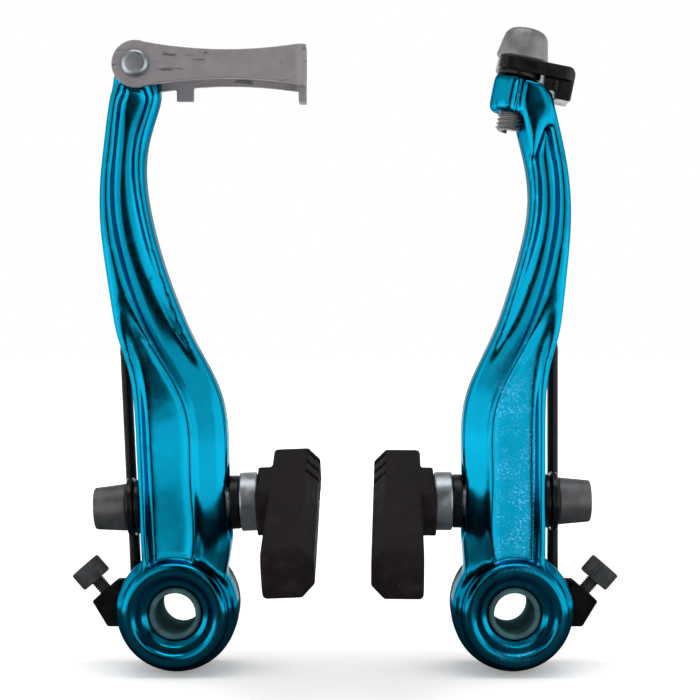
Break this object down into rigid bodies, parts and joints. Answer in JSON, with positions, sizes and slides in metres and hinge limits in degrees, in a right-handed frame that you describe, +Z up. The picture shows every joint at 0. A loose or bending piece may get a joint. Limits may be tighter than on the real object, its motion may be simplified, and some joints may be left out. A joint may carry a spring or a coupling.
{
  "type": "v brake",
  "caption": "Linear-pull bicycle brake: swinging forged arms with rubber pads, return springs, a hinged cable link and a cable anchor clamp.",
  "frame": {"origin": "midway between the two pivot axes, on the mounting plane at the rear of the pivot bushes", "axes": "+X towards the right arm as seen from the front, -Y towards the front, +Z up along the arms"},
  "size_m": [0.1092, 0.0551, 0.1269],
  "materials": {
    "anodised_blue": "polished and anodised turquoise",
    "bush_steel": "turned, grey",
    "black_nylon": "moulded, matt black",
    "dark_steel": "dull grey plating",
    "black_spring_steel": "black coating on spring wire",
    "pad_rubber": "moulded, fine grain",
    "zinc_steel": "zinc plated",
    "link_steel": "tumbled, warm grey",
    "bolt_steel": "dull grey plating",
    "black_steel": "gloss black"
  },
  "bodies": {
    "frame_side": {"left_pivot_bush": "bush_steel", "right_pivot_bush": "bush_steel", "left_spring_holder": "black_nylon", "right_spring_holder": "black_nylon"},
    "left_arm_body": {"left_arm": "anodised_blue", "left_spring": "black_spring_steel", "left_brake_pad": "pad_rubber", "left_pad_post": "zinc_steel", "left_inner_convex_washer": "dark_steel", "left_inner_cup_washer": "dark_steel", "left_outer_convex_washer": "dark_steel", "left_outer_cup_washer": "dark_steel", "left_cap_nut": "dark_steel", "link_pin": "zinc_steel"},
    "right_arm_body": {"right_arm": "anodised_blue", "right_spring": "black_spring_steel", "right_brake_pad": "pad_rubber", "right_pad_post": "zinc_steel", "right_inner_convex_washer": "dark_steel", "right_inner_cup_washer": "dark_steel", "right_outer_convex_washer": "dark_steel", "right_outer_cup_washer": "dark_steel", "right_cap_nut": "dark_steel", "anchor_bolt": "bolt_steel", "thin_washer": "black_steel", "clamp_washer": "black_steel"},
    "link_body": {"cable_link": "link_steel"},
    "left_screw_body": {"left_tension_screw": "dark_steel"},
    "right_screw_body": {"right_tension_screw": "dark_steel"}
  },
  "joints": [
    {"name": "left_arm_swing", "type": "hinge", "parent": "frame_side", "child": "left_arm_body", "pos_m": [-0.0331, 0, 0], "axis": [0, 1, 0], "range_deg": [-20, 8], "stiffness_Nm_per_rad": 2, "deforming": ["left_spring"]},
    {"name": "right_arm_swing", "type": "hinge", "parent": "frame_side", "child": "right_arm_body", "pos_m": [0.0331, 0, 0], "axis": [0, -1, 0], "range_deg": [-20, 8], "stiffness_Nm_per_rad": 2, "deforming": ["right_spring"]},
    {"name": "cable_link_swing", "type": "hinge", "parent": "left_arm_body", "child": "link_body", "pos_m": [-0.04054, -0.015, 0.10677], "axis": [0, 1, 0], "range_deg": [-90, 40]},
    {"name": "left_tension_screw_turn", "type": "hinge", "parent": "frame_side", "child": "left_screw_body", "pos_m": [-0.0487, -0.0033, 0.0027], "axis": [-0.6561, 0, 0.7547], "range_deg": [-270, 270]},
    {"name": "right_tension_screw_turn", "type": "hinge", "parent": "frame_side", "child": "right_screw_body", "pos_m": [0.0487, -0.0033, 0.0027], "axis": [0.6561, 0, 0.7547], "range_deg": [-270, 270]}
  ]
}
